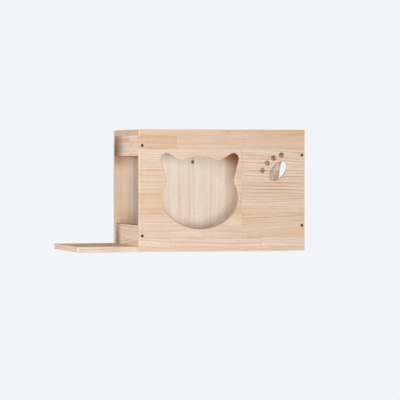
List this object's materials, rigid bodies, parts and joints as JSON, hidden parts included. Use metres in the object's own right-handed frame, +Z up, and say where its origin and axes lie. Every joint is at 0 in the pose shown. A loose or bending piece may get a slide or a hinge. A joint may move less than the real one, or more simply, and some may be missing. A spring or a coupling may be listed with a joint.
{
  "type": "wall-mounted cat house",
  "caption": "Wall-mounted pine cat house: a box with a cat-head entrance and a paw cut-out in front, a doorway with a step at one end, a round opening at the other and wall-screw holes.",
  "frame": {"origin": "on the wall plane, at the middle of the box's back face", "axes": "+X to the right seen from the front, +Y into the wall, +Z up"},
  "size_m": [0.615, 0.3, 0.32],
  "materials": {
    "pine": "sanded, matt clear finish",
    "screw": "dark phosphate coating",
    "dowel": "smooth turned beech"
  },
  "bodies": {
    "root": {"front_panel": "pine", "back_panel": "pine", "roof_board": "pine", "floor_board": "pine", "right_wall": "pine", "top_rail": "pine", "bottom_rail": "pine", "front_rail_screws": "screw", "front_wall_screws": "screw", "back_roof_screws": "screw", "back_floor_screws": "screw", "back_rail_screws": "screw", "back_wall_screws": "screw", "roof_rail_screws": "screw", "roof_wall_screws": "screw", "floor_rail_screws": "screw", "floor_wall_screws": "screw", "roof_dowels": "dowel", "floor_dowels": "dowel"}
  },
  "joints": []
}
